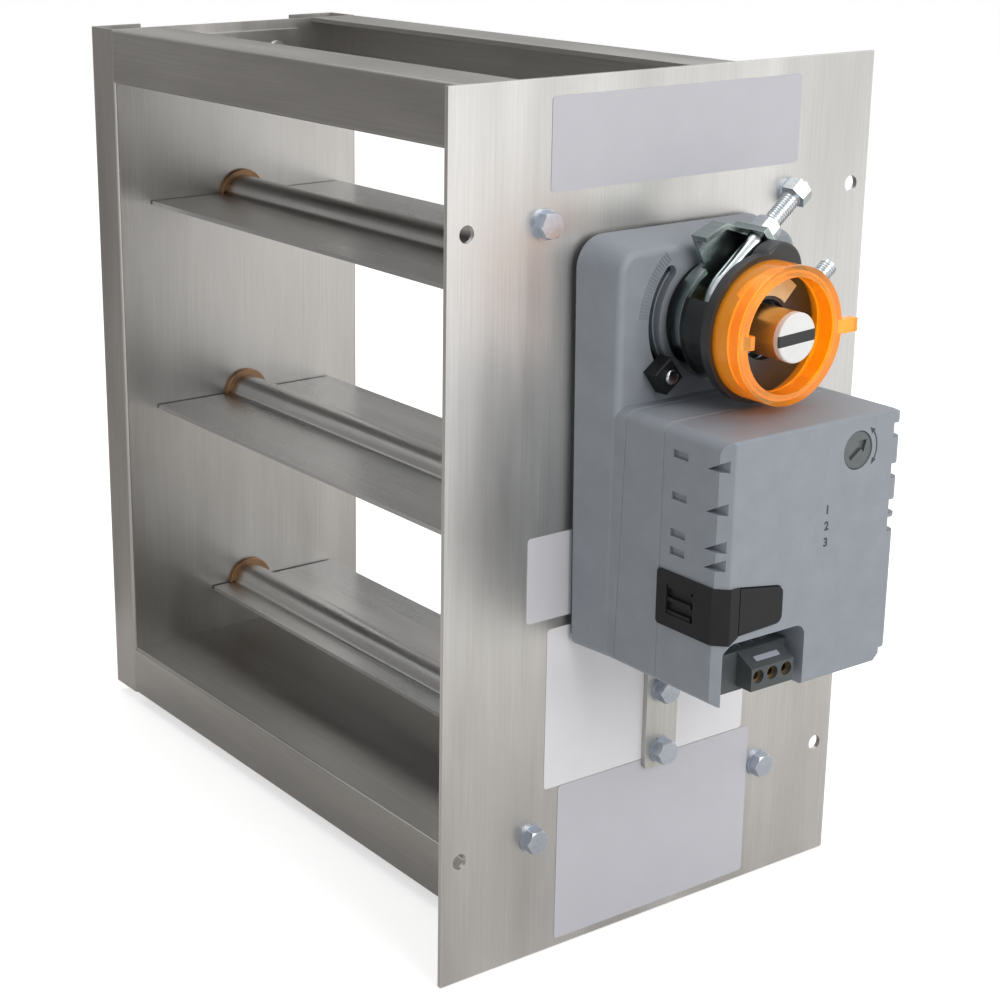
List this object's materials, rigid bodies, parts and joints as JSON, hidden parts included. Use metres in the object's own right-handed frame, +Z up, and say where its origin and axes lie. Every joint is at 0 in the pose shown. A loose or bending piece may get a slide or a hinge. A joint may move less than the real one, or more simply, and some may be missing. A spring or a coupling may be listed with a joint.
{
  "type": "zone damper",
  "caption": "Insertion zone damper: a rectangular frame of lipped channels with parallel blades on one link bar, a duct plate, and a direct-coupled electric actuator on its shaft.",
  "frame": {"origin": "middle of the mounting plate's duct-side face", "axes": "+X out of the duct towards the actuator, +Y with the air stream, +Z up"},
  "size_m": [0.3161, 0.159, 0.264],
  "materials": {
    "frame_aluminium": "mill finish, faintly brushed along each channel",
    "plate_aluminium": "brushed upright",
    "blade_aluminium": "extruded, fine lengthwise lines",
    "rivet_aluminium": "bright",
    "bronze": "sintered, dull",
    "zinc_plated": "bright zinc plate",
    "shaft_metal": "turned, satin",
    "cap_plastic": "satin white",
    "mark_plastic": "matt black",
    "crank_steel": "plated",
    "housing_plastic": "fine grained, blue grey",
    "backplate_plastic": "matt dark grey",
    "black_plastic": "fine grained black",
    "slate_plastic": "matt slate",
    "inlay_plastic": "satin cream",
    "ring_plastic": "clear orange",
    "dial_plastic": "satin grey",
    "terminal_plastic": "satin grey",
    "terminal_brass": "bright",
    "gear_plastic": "acetal white",
    "rotor_plastic": "glass filled, dark grey",
    "motor_steel": "plated can",
    "board": "green solder mask",
    "clamp_chrome": "bright",
    "clamp_steel": "dark chromate, bright edges",
    "spring_steel": "drawn wire"
  },
  "bodies": {
    "frame": {"left_channel": "frame_aluminium", "right_channel": "frame_aluminium", "top_channel": "frame_aluminium", "bottom_channel": "frame_aluminium", "frame_rivets": "rivet_aluminium", "mounting_plate": "plate_aluminium", "plate_bolts": "zinc_plated", "plate_nuts": "zinc_plated", "left_bushings": "bronze", "right_bushings": "bronze", "actuator_backplate": "backplate_plastic", "actuator_base": "housing_plastic", "housing_screws": "zinc_plated", "motor_housing": "housing_plastic", "terminal_cover": "housing_plastic", "corner_bezel": "black_plastic", "button_spring": "spring_steel", "terminal_block": "terminal_plastic", "terminal_sleeves": "terminal_brass", "terminal_screws": "zinc_plated", "circuit_board": "board", "motor": "motor_steel", "gear_pins": "crank_steel", "anti_rotation_strap": "zinc_plated", "strap_screws": "zinc_plated", "end_stop": "black_plastic", "end_stop_screw": "clamp_chrome"},
    "drive_train": {"top_blade": "blade_aluminium", "top_crank": "crank_steel", "top_crank_pin": "crank_steel", "top_cross_pin": "crank_steel", "drive_shaft": "shaft_metal", "shaft_cap": "cap_plastic", "position_mark": "mark_plastic", "rotor": "rotor_plastic", "clamp_saddle": "clamp_steel", "clamp_jaw": "clamp_steel", "u_bolt": "clamp_chrome", "clamp_nuts": "clamp_chrome", "indicator_carrier": "slate_plastic", "indicator_inlay": "inlay_plastic", "indicator_ring": "ring_plastic"},
    "middle_vane": {"middle_blade": "blade_aluminium", "middle_crank": "crank_steel", "middle_crank_pin": "crank_steel", "middle_cross_pin": "crank_steel"},
    "bottom_vane": {"bottom_blade": "blade_aluminium", "bottom_crank": "crank_steel", "bottom_crank_pin": "crank_steel", "bottom_cross_pin": "crank_steel"},
    "link": {"link_bar": "crank_steel"},
    "first_gear": {"first_idler": "gear_plastic"},
    "second_gear": {"second_idler": "gear_plastic"},
    "pinion": {"motor_pinion": "terminal_brass"},
    "button": {"release_button": "black_plastic"},
    "dial": {"direction_dial": "dial_plastic"}
  },
  "joints": [
    {"name": "blade_drive", "type": "hinge", "parent": "frame", "child": "drive_train", "pos_m": [0, 0, 0.0643], "axis": [1, 0, 0], "range_deg": [0, 90]},
    {"name": "middle_blade_turn", "type": "hinge", "parent": "frame", "child": "middle_vane", "pos_m": [0, 0, -0.0137], "axis": [1, 0, 0], "range_deg": [0, 90]},
    {"name": "bottom_blade_turn", "type": "hinge", "parent": "frame", "child": "bottom_vane", "pos_m": [0, 0, -0.0917], "axis": [1, 0, 0], "range_deg": [0, 90]},
    {"name": "link_swing", "type": "hinge", "parent": "drive_train", "child": "link", "pos_m": [0, -0.01414, 0.05016], "axis": [1, 0, 0], "range_deg": [-90, 0]},
    {"name": "first_gear_spin", "type": "hinge", "parent": "frame", "child": "first_gear", "pos_m": [0, 0, 0.0343], "axis": [1, 0, 0], "range_deg": [-360, 0]},
    {"name": "second_gear_spin", "type": "hinge", "parent": "frame", "child": "second_gear", "pos_m": [0, 0, 0.0163], "axis": [1, 0, 0], "range_deg": [0, 720]},
    {"name": "pinion_spin", "type": "hinge", "parent": "frame", "child": "pinion", "pos_m": [0, 0, -0.0017], "axis": [1, 0, 0], "range_deg": [-1440, 0]},
    {"name": "release_press", "type": "slide", "parent": "frame", "child": "button", "axis": [-1, 0, 0], "range_m": [0, 0.0025], "stiffness_N_per_m": 300, "springref_m": -0.001, "deforming": ["button_spring"]},
    {"name": "direction_dial_turn", "type": "hinge", "parent": "frame", "child": "dial", "pos_m": [0, 0.016, 0.0325], "axis": [1, 0, 0], "range_deg": [-90, 0]}
  ],
  "couplings": [
    {"joint": "middle_blade_turn", "follows": "blade_drive", "ratio": 1},
    {"joint": "bottom_blade_turn", "follows": "blade_drive", "ratio": 1},
    {"joint": "link_swing", "follows": "blade_drive", "ratio": -1},
    {"joint": "first_gear_spin", "follows": "blade_drive", "ratio": -4},
    {"joint": "second_gear_spin", "follows": "blade_drive", "ratio": 8},
    {"joint": "pinion_spin", "follows": "blade_drive", "ratio": -16}
  ]
}
